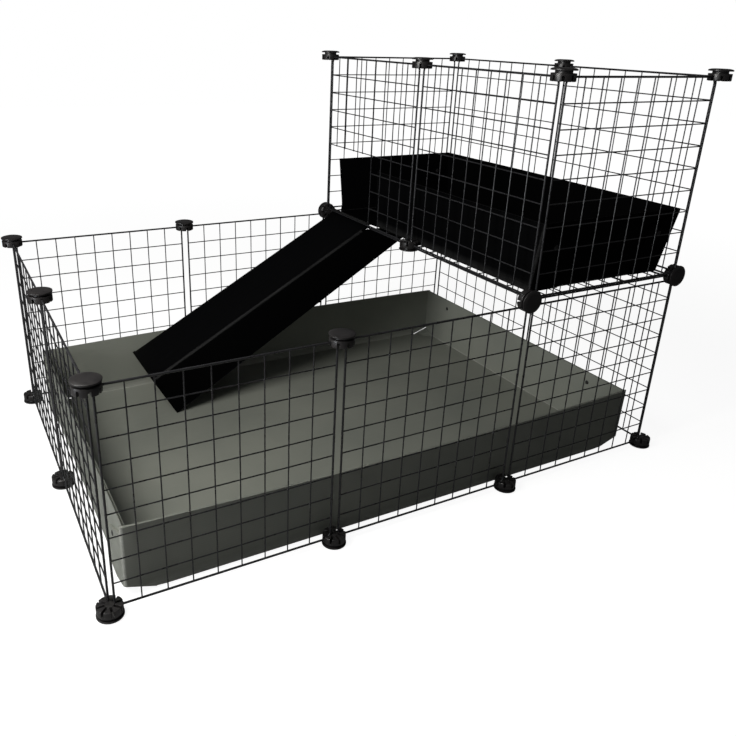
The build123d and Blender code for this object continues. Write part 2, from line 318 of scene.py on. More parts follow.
def finish_piece(name, meshes, material, body, node, crisp=35.0):
    """Joins meshes into one piece that rides on a body and stands for a node."""
    parts = [linked_object(name, mesh) for mesh in meshes]
    with bpy.context.temp_override(
        active_object=parts[0], object=parts[0], selected_editable_objects=parts, selected_objects=parts
    ):
        if len(parts) > 1:
            bpy.ops.object.join()
    piece = parts[0]
    piece.data.materials.clear()
    piece.data.materials.append(material)
    piece.data.shade_smooth()
    piece.data.set_sharp_from_angle(angle=radians(crisp))
    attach(piece, body)
    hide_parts(node)
    return piece


print("geometry helpers ready")

# %% [markdown]
# ## Wire grid panels
#
# A panel is one thick wire bent into a square with rounded corners, and two layers of thin wires
# laid across each other and spot-welded at every crossing. The thin wires are never quite
# straight after welding, so each follows a slow drift of a fraction of a millimetre. A doorway
# is made by snipping the wires in one corner, flush with the next wire.

# %% Tree of a welded panel
edge_points = 12
grid_points = 8
bends_per_wire = 12
corner_bends = 7
drift_scale = 7.0
noise_middle = (0.5, 0.5, 0.5)
panel_tree, given = new_tree(
    "welded_wire_panel",
    {
        "Span": "Float",
        "Squares": "Int",
        "Corner Radius": "Float",
        "Edge Wire Radius": "Float",
        "Grid Wire Radius": "Float",
        "Layer Offset": "Float",
        "Open Columns": "Int",
        "Open Rows": "Int",
        "Weld Radius": "Float",
        "Drift": "Float",
        "Seed": "Float",
        "Material": "Material",
    },
)
square = maths(panel_tree, "DIVIDE", given["Span"], given["Squares"])
half = maths(panel_tree, "MULTIPLY", given["Span"], 0.5)
low_end = maths(panel_tree, "MULTIPLY", given["Span"], -0.5)
door_side = maths(panel_tree, "SUBTRACT", maths(panel_tree, "MULTIPLY", given["Open Columns"], square), half)
door_top = maths(panel_tree, "SUBTRACT", maths(panel_tree, "MULTIPLY", given["Open Rows"], square), half)


def tube(tree, curve, radius, points, capped):
    """A round wire along a curve."""
    circle = put(tree, "GeometryNodeCurvePrimitiveCircle", {"Resolution": points, "Radius": radius})
    sockets = {"Curve": curve, "Profile Curve": circle.outputs["Curve"], "Fill Caps": capped}
    return put(tree, "GeometryNodeCurveToMesh", sockets).outputs[0]


def edge_wire(tree):
    """The bent square round the panel."""
    sockets = {"Width": given["Span"], "Height": given["Span"]}
    outline = put(tree, "GeometryNodeCurvePrimitiveQuadrilateral", sockets)
    sockets = {"Curve": outline.outputs[0], "Count": corner_bends, "Radius": given["Corner Radius"]}
    rounded = put(tree, "GeometryNodeFilletCurve", sockets, mode="POLY")
    return tube(tree, rounded.outputs[0], given["Edge Wire Radius"], edge_points, False)


def straight_wires(tree, upright):
    """One layer of thin wires; those that would cross the doorway start above or beside it."""
    index = tree.nodes.new("GeometryNodeInputIndex").outputs[0]
    number = maths(tree, "ADD", index, 1.0)
    open_count = given["Open Columns"] if upright else given["Open Rows"]
    door_edge = maths(tree, "SUBTRACT", door_top if upright else door_side, given["Grid Wire Radius"])
    snipped = maths(tree, "LESS_THAN", number, open_count)
    shift = maths(tree, "MULTIPLY", snipped, maths(tree, "SUBTRACT", door_edge, low_end))
    start = maths(tree, "ADD", low_end, shift)
    across = maths(tree, "ADD", low_end, maths(tree, "MULTIPLY", number, square))
    layer = maths(tree, "MULTIPLY", given["Layer Offset"], 1.0 if upright else -1.0)
    spot = {"X": across, "Y": start, "Z": layer} if upright else {"X": start, "Y": across, "Z": layer}
    count = maths(tree, "SUBTRACT", given["Squares"], 1.0)
    line = put(tree, "GeometryNodeMeshLine", {"Count": count})
    spots = put(tree, "ShaderNodeCombineXYZ", spot).outputs[0]
    placed = put(tree, "GeometryNodeSetPosition", {"Geometry": line.outputs[0], "Position": spots})
    unit = put(tree, "GeometryNodeCurvePrimitiveLine", {"Start": (0, 0, 0), "End": (0, 1, 0)})
    divided = put(tree, "GeometryNodeResampleCurve", {"Curve": unit.outputs[0], "Count": bends_per_wire})
    length = maths(tree, "SUBTRACT", half, start)
    stretch = put(tree, "ShaderNodeCombineXYZ", {"X": 1.0, "Y": length, "Z": 1.0}).outputs[0]
    turn = (0.0, 0.0, 0.0) if upright else (0.0, 0.0, -pi / 2)
    sockets = {"Points": placed.outputs[0], "Instance": divided.outputs[0]}
    sockets.update({"Scale": stretch, "Rotation": turn})
    copies = put(tree, "GeometryNodeInstanceOnPoints", sockets)
    real = put(tree, "GeometryNodeRealizeInstances", {0: copies.outputs[0]}).outputs[0]
    here = tree.nodes.new("GeometryNodeInputPosition").outputs[0]
    sockets = {"Vector": here, "W": given["Seed"], "Scale": drift_scale}
    cloud = put(tree, "ShaderNodeTexNoise", sockets, noise_dimensions="4D").outputs[1]
    centred = vector_maths(tree, "SUBTRACT", {0: cloud, 1: noise_middle})
    drift = vector_maths(tree, "SCALE", {0: centred, "Scale": given["Drift"]})
    bent = put(tree, "GeometryNodeSetPosition", {"Geometry": real, "Offset": drift}).outputs[0]
    return tube(tree, bent, given["Grid Wire Radius"], grid_points, True)


def welds(tree):
    """A small blob of molten metal where two thin wires cross."""
    count = maths(tree, "SUBTRACT", given["Squares"], 1.0)
    side = maths(tree, "MULTIPLY", maths(tree, "SUBTRACT", given["Squares"], 2.0), square)
    sockets = {"Size X": side, "Size Y": side, "Vertices X": count, "Vertices Y": count}
    crossings = put(tree, "GeometryNodeMeshGrid", sockets).outputs["Mesh"]
    here = tree.nodes.new("GeometryNodeInputPosition").outputs[0]
    parts = put(tree, "ShaderNodeSeparateXYZ", {0: here}).outputs
    slack = maths(tree, "MULTIPLY", square, 0.5)
    left_of = maths(tree, "LESS_THAN", parts[0], maths(tree, "SUBTRACT", door_side, slack))
    below = maths(tree, "LESS_THAN", parts[1], maths(tree, "SUBTRACT", door_top, slack))
    closed = maths(tree, "SUBTRACT", 1.0, maths(tree, "MULTIPLY", left_of, below))
    blob = put(tree, "GeometryNodeMeshIcoSphere", {"Radius": given["Weld Radius"], "Subdivisions": 2})
    sockets = {"Points": crossings, "Instance": blob.outputs[0], "Selection": closed}
    return put(tree, "GeometryNodeInstanceOnPoints", sockets).outputs[0]


panel_parts = [
    edge_wire(panel_tree),
    straight_wires(panel_tree, True),
    straight_wires(panel_tree, False),
    welds(panel_tree),
]
end_tree(panel_tree, panel_parts, given["Material"])
print("panel tree has", len(panel_tree.nodes), "nodes")

# %% Panels at their places
edge_wire_radius = 0.0018
grid_wire_radius = 0.0011
squares_per_side = 9
doorway_columns = 5
doorway_rows = 4
corner_radius = 0.012
layer_offset = 0.00108  # the two layers of thin wires are pressed a little into each other
weld_radius = 0.0015
wire_drift = 0.0012
facings = {
    "front": ((1, 0, 0), (0, -1, 0)),
    "back": ((-1, 0, 0), (0, 1, 0)),
    "left": ((0, -1, 0), (-1, 0, 0)),
    "door": ((0, -1, 0), (-1, 0, 0)),
    "right": ((0, 1, 0), (1, 0, 0)),
    "floor": ((1, 0, 0), (0, 0, 1)),
}


def placed(origin, x_axis, z_axis):
    """The matrix that takes a flat shape to its place."""
    x_axis, z_axis = Vector(x_axis), Vector(z_axis)
    turned = Matrix((x_axis, z_axis.cross(x_axis), z_axis)).transposed()
    return Matrix.Translation(origin) @ turned.to_4x4()


panel_nodes = sorted(name for name in frame["nodes"] if "panel" in name)
for seed, node in enumerate(panel_nodes):
    low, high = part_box(node)
    facing = next(facings[word] for word in node.split("_") if word in facings)
    is_door = "door" in node
    values = {
        "Span": max(high - low) - 2 * edge_wire_radius,
        "Squares": squares_per_side,
        "Corner Radius": corner_radius,
        "Edge Wire Radius": edge_wire_radius,
        "Grid Wire Radius": grid_wire_radius,
        "Layer Offset": layer_offset,
        "Open Columns": doorway_columns if is_door else 0,
        "Open Rows": doorway_rows if is_door else 0,
        "Weld Radius": weld_radius,
        "Drift": wire_drift,
        "Seed": float(seed),
    }
    mesh = grow(panel_tree, "wire_" + node, wire_finish, values)
    mesh.transform(placed((low + high) / 2, *facing))
    finish_piece("wire_" + node, [mesh], wire_finish, "cage", node)
print("panels", len(panel_nodes), "faces in the last one", len(mesh.polygons))

# %% [markdown]
# ## Connectors
#
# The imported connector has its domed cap, the groove round its rim and the eight slots. A moulded
# part has no knife-sharp edges, so a copy of it is welded into one skin, its edges are rounded
# by a fraction of a millimetre, and it is shaded smooth between them.

# %% Rounded connectors
moulded_edge = 0.0004
merge_distance = 0.000002


def merged_copy(node):
    """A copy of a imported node's mesh with its loose triangles joined into one skin."""
    mesh = frame["nodes"][node].data.copy()
    shape = bmesh.new()
    shape.from_mesh(mesh)
    bmesh.ops.remove_doubles(shape, verts=shape.verts, dist=merge_distance)
    bmesh.ops.dissolve_limit(shape, angle_limit=radians(0.5), verts=shape.verts, edges=shape.edges)
    shape.to_mesh(mesh)
    shape.free()
    return mesh


def rounded_connector(node):
    """One connector with softened edges."""
    holder = linked_object(node + "_round", merged_copy(node))
    bevel = holder.modifiers.new("soft edges", "BEVEL")
    bevel.width = moulded_edge
    bevel.segments = 2
    bevel.limit_method = "ANGLE"
    bevel.angle_limit = radians(40)
    mesh = plain_mesh(holder, "puck_" + node)
    return finish_piece("puck_" + node, [mesh], connector_finish, "cage", node, 30.0)


connector_nodes = sorted(name for name in frame["nodes"] if "connector" in name)
for node in connector_nodes:
    puck = rounded_connector(node)
print("connectors", len(connector_nodes), "faces in one", len(puck.data.polygons))

# %% [markdown]
# ## Folding a sheet
#
# A tray or ramp is a flat sheet that is scored and folded. Its outer face is laid out as grids of
# points whose corners are rounded by the fold's radius, each point knows its place on the flat
# sheet, and Solidify then gives the skin its thickness, inwards. Subdividing a box would be
# quicker, but its flutes could not follow the folds.

# %% Bent outlines and sheet grids
sheet = 0.004
flap_gap = 0.0004
fold_radius = 0.005
fold_steps = 6
cell_depth = 0.006


def folded_path(corners, strips):
    """Rounds an outline's corners. Gives (first, second, length run, fold) for each point."""
    corners = [Vector(corner) for corner in corners]
    knots = [[corners[0]]]
    for before, corner, after in zip(corners, corners[1:], corners[2:]):
        into, out = (corner - before).normalized(), (after - corner).normalized()
        turn = into.angle(out)
        reach = fold_radius * tan(turn / 2)
        centre = corner + (out - into).normalized() * fold_radius / cos(turn / 2)
        first, last = corner - into * reach - centre, corner + out * reach - centre
        arc = []
        for k in range(fold_steps + 1):
            share = k / fold_steps
            swing = (first * sin((1 - share) * turn) + last * sin(share * turn)) / sin(turn)
            arc.append(centre + swing)
        knots.append(arc)
    knots.append([corners[-1]])
    points = [(knots[0][0], 0.0)]
    for arc, next_arc, count in zip(knots, knots[1:], strips):
        start, end = arc[-1], next_arc[0]
        points += [(start.lerp(end, k / count), 0.0) for k in range(1, count + 1)]
        points += [(point, 1.0) for point in next_arc[1:-1]]
        if len(next_arc) > 1:
            points.append((next_arc[-1], 0.0))
    path, run, last = [], 0.0, points[0][0]
    for point, bent in points:
        run += (point - last).length
        path.append((point.x, point.y, run, bent))
        last = point
    return path


def new_sheet():
    """An empty shape that carries the flat sheet's map and the fold mark."""
    shape = bmesh.new()
    shape.loops.layers.uv.new(flute_map)
    shape.verts.layers.float.new(fold_mark)
    return shape


def add_patch(shape, rows, inside):
    """Adds a grid of faces; each entry is (point, place on the flat sheet, fold)."""
    flat_map = shape.loops.layers.uv[flute_map]
    fold = shape.verts.layers.float[fold_mark]
    lines = []
    for row in rows:
        lines.append([])
        for point, flat, bent in row:
            vert = shape.verts.new(point)
            vert[fold] = bent
            lines[-1].append((vert, flat))
    faces = []
    for near, far in zip(lines, lines[1:]):
        for ring in zip(near, near[1:], far[1:], far):
            face = shape.faces.new([vert for vert, flat in ring])
            for loop, (vert, flat) in zip(face.loops, ring):
                loop[flat_map].uv = flat
            faces.append(face)
    shape.normal_update()
    facing = sum(f.normal.dot(f.calc_center_median() - inside) * f.calc_area() for f in faces)
    if facing < 0:
        bmesh.ops.reverse_faces(shape, faces=faces)
    verts = [vert for line in lines for vert, flat in line]
    bmesh.ops.remove_doubles(shape, verts=verts, dist=merge_distance)


def thick_sheet(name, shape, place):
    """The sheet with its real thickness, measured inwards from its outer face."""
    mesh = bpy.data.meshes.new(name)
    shape.to_mesh(mesh)
    shape.free()
    mesh.transform(place)
    holder = linked_object(name, mesh)
    solid = holder.modifiers.new("thickness", "SOLIDIFY")
    solid.thickness = sheet
    solid.offset = -1.0
    return plain_mesh(holder, name)


print("fold radius", fold_radius, "sheet", sheet)

# %% [markdown]
# ## Open flutes
#
# Where the sheet is cut across its flutes, the edge is a row of small square mouths between the
# two skins. The sheets here stop a few millimetres short of such an edge, and this tree fills the
# rest with two skins and a rib at every pitch. It works in a unit box and is then stretched onto
# three directions: along the edge, into the sheet, and through its thickness.

# %% Tree of a cut edge
skin_share = 0.11
rib_share = 0.12
flute_tree, given = new_tree(
    "cut_edge_flutes",
    {
        "Flutes": "Int",
        "Start": "Vector",
        "Along": "Vector",
        "Into": "Vector",
        "Through": "Vector",
        "Skin": "Float",
        "Rib": "Float",
        "Material": "Material",
    },
)


def unit_skin(tree, height):
    """A thin board over the whole edge, centred at the given height of the unit box."""
    size = put(tree, "ShaderNodeCombineXYZ", {"X": 1.0, "Y": 1.0, "Z": given["Skin"]}).outputs[0]
    board = put(tree, "GeometryNodeMeshCube", {"Size": size}).outputs["Mesh"]
    centre = put(tree, "ShaderNodeCombineXYZ", {"X": 0.5, "Y": 0.5, "Z": height}).outputs[0]
    return put(tree, "GeometryNodeTransform", {"Geometry": board, "Translation": centre}).outputs[0]


def unit_ribs(tree):
    """A rib at every pitch along the unit box."""
    step = maths(tree, "DIVIDE", 1.0, given["Flutes"])
    offset = put(tree, "ShaderNodeCombineXYZ", {"X": step, "Y": 0.0, "Z": 0.0}).outputs[0]
    count = maths(tree, "ADD", given["Flutes"], 1.0)
    sockets = {"Count": count, "Start Location": (0.0, 0.5, 0.5), "Offset": offset}
    line = put(tree, "GeometryNodeMeshLine", sockets).outputs[0]
    width = maths(tree, "MULTIPLY", step, given["Rib"])
    tall = maths(tree, "SUBTRACT", 1.0, given["Skin"])
    size = put(tree, "ShaderNodeCombineXYZ", {"X": width, "Y": 1.0, "Z": tall}).outputs[0]
    rib = put(tree, "GeometryNodeMeshCube", {"Size": size}).outputs["Mesh"]
    copies = put(tree, "GeometryNodeInstanceOnPoints", {"Points": line, "Instance": rib})
    return put(tree, "GeometryNodeRealizeInstances", {0: copies.outputs[0]}).outputs[0]


def stretched(tree, part):
    """Takes the unit box onto the edge's own directions."""
    here = tree.nodes.new("GeometryNodeInputPosition").outputs[0]
    shares = put(tree, "ShaderNodeSeparateXYZ", {0: here}).outputs
    place = given["Start"]
    for direction, share in zip(("Along", "Into", "Through"), shares):
        step = vector_maths(tree, "SCALE", {0: given[direction], "Scale": share})
        place = vector_maths(tree, "ADD", {0: place, 1: step})
    return put(tree, "GeometryNodeSetPosition", {"Geometry": part, "Position": place}).outputs[0]


half_skin = maths(flute_tree, "MULTIPLY", given["Skin"], 0.5)
far_skin = maths(flute_tree, "SUBTRACT", 1.0, half_skin)
flute_parts = [unit_skin(flute_tree, half_skin), unit_skin(flute_tree, far_skin), unit_ribs(flute_tree)]
end_tree(flute_tree, [stretched(flute_tree, part) for part in flute_parts], given["Material"])


def cut_edge(place, material, start, along, into, through):
    """The open flutes of one straight cut edge."""
    start, along, into, through = (Vector(v) for v in (start, along, into, through))
    if along.cross(into).dot(through) < 0:
        start, along = start + along, -along
    turn = place.to_3x3()
    values = {
        "Flutes": max(2, round(along.length / flute_pitch)),
        "Start": tuple(place @ start),
        "Along": tuple(turn @ along),
        "Into": tuple(turn @ into),
        "Through": tuple(turn @ through),
        "Skin": skin_share,
        "Rib": rib_share,
    }
    return grow(flute_tree, "cut_edge", material, values)


print("flute tree has", len(flute_tree.nodes), "nodes")

# %% [markdown]
# ## The two trays
#
# A tray's floor and end walls are one strip that runs along the flutes, from rim to rim. Each long
# wall is folded up beside it, carries on round the corners and ends in a flap outside the end
# wall. The long walls belly out a little at the rim. The base tray's bottom corners are pressed
# in, so a small slanting facet closes each of them.

# %% Shape of a tray
clip_rise = 0.018
facet_inset = 0.003
facet_gap = 0.0003
floor_strips = 24
wall_strips = 8
column_step = 0.02


def wall_y(tray, x, z):
    """How far a long wall's outer face stands from the middle."""
    half_length = tray.length / 2 + tray.end_lean * z / tray.height
    belly = tray.bow * (1 - (x / half_length) ** 2)
    return tray.width / 2 + (tray.side_lean + belly) * z / tray.height


def side_limit(tray, edge, x, z):
    """How far the floor and end walls reach before the long wall or the clipped corner."""
    beside_doorway = tray.cut and edge == 1 and x > tray.cut
    if z < fold_radius:
        limit = tray.width / 2 - (0 if beside_doorway else fold_radius)
    else:
        limit = (tray.width / 2 if beside_doorway else wall_y(tray, x, z)) - sheet
    clip = max(0.0, tray.clip * (1 - z / clip_rise))
    if clip:
        limit = min(limit, tray.width / 2 - clip + tray.length / 2 - abs(x))
    return limit


def floor_and_ends(tray):
    """Rows from one end wall's rim down, along the floor and up to the other rim."""
    foot = tray.length / 2 - sheet - flap_gap
    rim_z = tray.height - cell_depth
    rim_x = foot + tray.end_lean * rim_z / tray.height
    outline = [(-rim_x, rim_z), (-foot, 0), (foot, 0), (rim_x, rim_z)]
    along = round(tray.length / column_step)
    rows = []
    for x, z, run, bent in folded_path(outline, [wall_strips, along, wall_strips]):
        low, high = -side_limit(tray, -1, x, z), side_limit(tray, 1, x, z)
        stops = [low + (high - low) * k / floor_strips for k in range(floor_strips + 1)]
        rows.append([(Vector((x, y, z)), (run, y), bent) for y in stops])
    return rows


def wall_columns(tray, edge):
    """Upright lines of a long wall: flap, corner, wall, corner, flap."""
    ends = {-1: [], 1: []}
    for end in ends:
        flap = tray.flaps.get((end, edge))
        if flap:
            tip = flap.reach - cell_depth
            count = round(tip / column_step * 2)
            stops = [tip + (fold_radius - tip) * k / count for k in range(count + 1)]
            ends[end] = [("flap", end, stop) for stop in stops]
            ends[end] += [("corner", end, k * pi / 2 / fold_steps) for k in range(1, fold_steps)]
    count = round(tray.length / column_step)
    wall = [("wall", 0, 2 * k / count - 1) for k in range(count + 1)]
    return ends[-1] + wall + ends[1][::-1]


def wall_point(tray, edge, column, rise):
    """A point of a long wall or flap, with its place on the flat sheet and its fold."""
    kind, end, measure = column
    inner_half = tray.length / 2 - fold_radius
    from_corner = {"flap": measure, "corner": 0.0, "wall": inner_half * (1 - abs(measure))}[kind]
    top = tray.height
    if kind == "flap":
        flap = tray.flaps[end, edge]
        top = flap.at_fold + (flap.at_tip - flap.at_fold) * measure / flap.reach
    bottom = max(0.0, clip_rise * (1 - from_corner / tray.clip)) if tray.clip else 0.0
    z = min(max(rise, bottom), top)
    half_length = tray.length / 2 + tray.end_lean * z / tray.height
    corner_y = tray.width / 2 + tray.side_lean * z / tray.height
    bent = 0.0
    if kind == "flap":
        x, y, run = end * half_length, corner_y - measure, end * (tray.length / 2 + measure)
    elif kind == "corner":
        x = end * (half_length - fold_radius * (1 - cos(measure)))
        y = corner_y - fold_radius * (1 - sin(measure))
        run, bent = end * (inner_half + fold_radius * (pi / 2 - measure)), 1.0
    else:
        x = measure * (half_length - fold_radius)
        if tray.cut and edge == 1:
            x = min(x, tray.cut - cell_depth)
        lift = max(0.0, fold_radius - z)
        y = wall_y(tray, x, z) - fold_radius + sqrt(fold_radius**2 - lift**2)
        run, bent = x, float(0 < z < fold_radius)
    return Vector((x, edge * y, z)), (run, z), bent


def long_wall(tray, edge):
    """Rows of a long wall with its flaps, from the floor's edge up to the rim."""
    rises = [fold_radius * (1 - cos(k * pi / 2 / fold_steps)) for k in range(fold_steps + 1)]
    rises += [
        fold_radius + (tray.height - fold_radius) * k / wall_strips for k in range(1, wall_strips + 1)
    ]
    columns = wall_columns(tray, edge)
    return [[wall_point(tray, edge, column, rise) for column in columns] for rise in rises]


def tray_cut_edges(tray):
    """Start and directions of every edge that is cut across the flutes."""
    edges = []
    for end in (-1, 1):
        rim_x = tray.length / 2 - sheet - flap_gap + tray.end_lean
        low = -side_limit(tray, -1, end * rim_x, tray.height)
        high = side_limit(tray, 1, end * rim_x, tray.height)
        into = (-end * tray.end_lean * cell_depth / tray.height, 0, -cell_depth)
        edges.append(((end * rim_x, low, tray.height), (0, high - low, 0), into, (-end * sheet, 0, 0)))
    for (end, edge), flap in tray.flaps.items():
        lean = Vector((end * tray.end_lean, edge * tray.side_lean, tray.height))
        start = (end * tray.length / 2, edge * (tray.width / 2 - flap.reach), 0)
        up = lean * flap.at_tip / tray.height
        edges.append((start, up, (0, edge * cell_depth, 0), (-end * sheet, 0, 0)))
    if tray.cut:
        low, high = wall_y(tray, tray.cut, sheet), wall_y(tray, tray.cut, tray.height)
        start, up = (tray.cut, low, sheet), (0, high - low, tray.height - sheet)
        edges.append((start, up, (-cell_depth, 0, 0), (0, -sheet, 0)))
    return edges


def pressed_corner(tray, place, end, edge):
    """The small facet that closes a clipped corner."""
    x, y = end * (tray.length / 2 - facet_inset), edge * (tray.width / 2 - facet_inset)
    reach = tray.clip - 2 * facet_inset
    outer = [(x - end * reach, y, 0), (x, y - edge * reach, 0), (x, y, clip_rise - facet_inset)]
    outer = [Vector(corner) for corner in outer]
    normal = (outer[1] - outer[0]).cross(outer[2] - outer[0]).normalized()
    inward = normal if normal.z > 0 else -normal
    corners = [corner + inward * depth for depth in (facet_gap, facet_gap + sheet / 2) for corner in outer]
    mesh = bpy.data.meshes.new("pressed_corner")
    mesh.from_pydata(corners, [], [(0, 1, 2), (5, 4, 3), (0, 3, 4, 1), (1, 4, 5, 2), (2, 5, 3, 0)])
    mesh.transform(place)
    shape = bmesh.new()
    shape.from_mesh(mesh)
    bmesh.ops.recalc_face_normals(shape, faces=shape.faces)
    shape.to_mesh(mesh)
    shape.free()
    return mesh


def make_tray(tray, place, material, body, node):
    """A whole tray: floor, walls, flaps and open flutes."""
    shape = new_sheet()
    inside = Vector((0, 0, tray.height / 2))
    add_patch(shape, floor_and_ends(tray), inside)
    for edge in (-1, 1):
        add_patch(shape, long_wall(tray, edge), inside)
    meshes = [thick_sheet("sheet_" + node, shape, place)]
    meshes += [cut_edge(place, material, *edge) for edge in tray_cut_edges(tray)]
    if tray.clip:
        meshes += [pressed_corner(tray, place, *corner) for corner in tray.flaps]
    return finish_piece("sheet_" + node, meshes, material, body, node)


print("tray helpers ready")

# %% Base tray
def flap(reach, at_fold, at_tip):
    """A corner flap: its reach along the end wall and its heights at the fold and the tip."""
    return Sizes(reach=reach, at_fold=at_fold, at_tip=at_tip)


low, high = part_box("base_tray")
base = Sizes(end_lean=0.0, side_lean=0.003, bow=0.013, clip=0.052, cut=None)
base.height = high.z - low.z
base.length = high.x - low.x - 2 * base.end_lean
base.width = high.y - low.y - 2 * (base.side_lean + base.bow)
base.flaps = {}
for edge in (-1, 1):
    base.flaps[-1, edge] = flap(reach=0.095, at_fold=0.117, at_tip=0.070)
for edge in (-1, 1):
    base.flaps[1, edge] = flap(reach=0.118, at_fold=0.122, at_tip=0.117)
base_place = Matrix.Translation(((low.x + high.x) / 2, (low.y + high.y) / 2, low.z))
base_tray = make_tray(base, base_place, grey_sheet, "cage", "base_tray")
print("base tray", base.length, "by", base.width, "faces", len(base_tray.data.polygons))

# %% Loft tray
low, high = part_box("loft_tray")
door_low, door_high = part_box("loft_door_panel")
doorway_width = (door_high.y - door_low.y - 2 * edge_wire_radius) * doorway_columns / squares_per_side
loft = Sizes(end_lean=0.024, side_lean=0.004, bow=0.003, clip=0.0)
loft.height = high.z - low.z
loft.length = high.y - low.y - 2 * loft.end_lean
loft.width = high.x - low.x - 2 * (loft.side_lean + loft.bow)
loft.cut = door_high.y - edge_wire_radius - doorway_width
loft_flap = flap(reach=0.070, at_fold=0.120, at_tip=0.096)
loft.flaps = {corner: loft_flap for corner in ((-1, -1), (-1, 1), (1, -1))}
loft_centre = Vector(((low.x + high.x) / 2, (low.y + high.y) / 2, low.z))
loft_place = placed(loft_centre, (0, 1, 0), (0, 0, 1))
loft_tray = make_tray(loft, loft_place, black_sheet, "loft_tray", "loft_tray")
print("loft tray", loft.length, "by", loft.width, "faces", len(loft_tray.data.polygons))

# %% [markdown]
# ## Ramp
#
# The ramp is a channel: a deck with both sides folded down. Near the loft the sides run on below
# the loft's floor while the deck alone wraps round the doorway's bottom wire. Its flutes run down
# the slope, so they are open at the foot.

# %% Shape of the ramp
ramp_joint = next(joint for joint in frame["joints"] if joint["name"] == "ramp_lift")
hinge = Vector(ramp_joint["pos_m"])
ramp_slope = radians(29)
ramp_length = 0.594
skirt_depth = 0.080
tongue = 0.084
hook_inner = 0.0021
hook_outer = hook_inner + sheet
hook_wrap = radians(205)
hook_steps = 24
side_strips = 6
deck_strips = 10
tongue_strips = 6
tongue_rises = 5
seat_gap = 0.0003
ramp_low, ramp_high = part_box("ramp")
ramp_sides = (ramp_low.y, ramp_high.y)
loft_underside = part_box("loft_floor_panel_1")[0].z - seat_gap


def on_ramp(along, above, y):
    """A point by its way down the slope from the hinge and its height over that line."""
    x = hinge.x - along * cos(ramp_slope) - above * sin(ramp_slope)
    z = hinge.z - along * sin(ramp_slope) + above * cos(ramp_slope)
    return Vector((x, y, z))


foot_depth = (on_ramp(ramp_length, -hook_inner, 0).z - ramp_low.z) / cos(ramp_slope)
deck_end = (hinge.z - hook_inner * cos(ramp_slope) - loft_underside) / sin(ramp_slope)


def side_depth(along):
    """How deep the folded sides are, from the foot to the tongue's tip."""
    share = (along + tongue) / (ramp_length + tongue)
    return skirt_depth + (foot_depth - skirt_depth) * share


def channel_rows():
    """The deck and its sides, station by station down the slope."""
    foot = ramp_length - cell_depth
    count = round(foot / column_step)
    near, far = ramp_sides
    rows = []
    for k in range(count + 1):
        along = deck_end + (foot - deck_end) * k / count
        low = -hook_inner - side_depth(along)
        outline = [(near, low), (near, -hook_inner), (far, -hook_inner), (far, low)]
        path = folded_path(outline, [side_strips, deck_strips, side_strips])
        rows.append([(on_ramp(along, above, y), (along, run), bent) for y, above, run, bent in path])
    return rows


def hook_rows():
    """The deck's end, from under the doorway wire round and over it."""
    profile = [(on_ramp(deck_end, -hook_outer, 0), 0.0)]
    for k in range(hook_steps + 1):
        angle = ramp_slope - pi / 2 + hook_wrap * k / hook_steps
        spot = hinge + hook_outer * Vector((cos(angle), 0, sin(angle)))
        profile.append((spot, float(k > 0)))
    rows = []
    for point, bent in profile:
        run = (point - profile[0][0]).length
        rows.append([(Vector((point.x, y, point.z)), (run, y), bent) for y in ramp_sides])
    return rows


def tongue_rows(y):
    """One folded side where it runs on under the loft."""
    lower = on_ramp(deck_end, -hook_inner - side_depth(deck_end), y)
    upper = on_ramp(deck_end, -hook_inner, y)
    tip_lower = on_ramp(-tongue, -hook_inner - skirt_depth, y)
    tip_upper = Vector((tip_lower.x, y, loft_underside))
    rows = []
    for k in range(tongue_strips + 1):
        share = k / tongue_strips
        start, end = lower.lerp(tip_lower, share), upper.lerp(tip_upper, share)
        column = [start.lerp(end, j / tongue_rises) for j in range(tongue_rises + 1)]
        rows.append([(spot, (spot.x, spot.z), 0.0) for spot in column])
    return rows


ramp_shape = new_sheet()
middle_y = sum(ramp_sides) / 2
under_deck = on_ramp(ramp_length / 2, -skirt_depth / 2, middle_y)
add_patch(ramp_shape, channel_rows(), under_deck)
add_patch(ramp_shape, hook_rows(), Vector((hinge.x, middle_y, hinge.z)))
for y in ramp_sides:
    add_patch(ramp_shape, tongue_rows(y), under_deck)
print("ramp foot", foot_depth, "deck ends", deck_end)

# %% Ramp with its open foot
here = Matrix.Identity(4)
downhill = on_ramp(1, 0, 0) - on_ramp(0, 0, 0)
above_deck = on_ramp(0, 1, 0) - on_ramp(0, 0, 0)
into_foot = -downhill * cell_depth
near, far = ramp_sides
foot_edges = [
    (on_ramp(ramp_length, -hook_inner, near), (0, far - near, 0), into_foot, -above_deck * sheet),
    (on_ramp(ramp_length, -hook_outer, near), -above_deck * (foot_depth - sheet), into_foot, (0, sheet, 0)),
    (on_ramp(ramp_length, -hook_outer, far), -above_deck * (foot_depth - sheet), into_foot, (0, -sheet, 0)),
]
ramp_meshes = [thick_sheet("sheet_ramp", ramp_shape, here)]
ramp_meshes += [cut_edge(here, black_sheet, *edge) for edge in foot_edges]
ramp = finish_piece("sheet_ramp", ramp_meshes, black_sheet, "ramp", "ramp")
print("ramp faces", len(ramp.data.polygons))

# %% [markdown]
# ## Push rivets
#
# Each flap is held by a two-part plastic rivet: a pin pushed into a collar, so a ring shows round
# the middle of its low dome, and the collar's legs spread inside the tray. A turned profile says
# all of this. The rivets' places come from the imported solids.

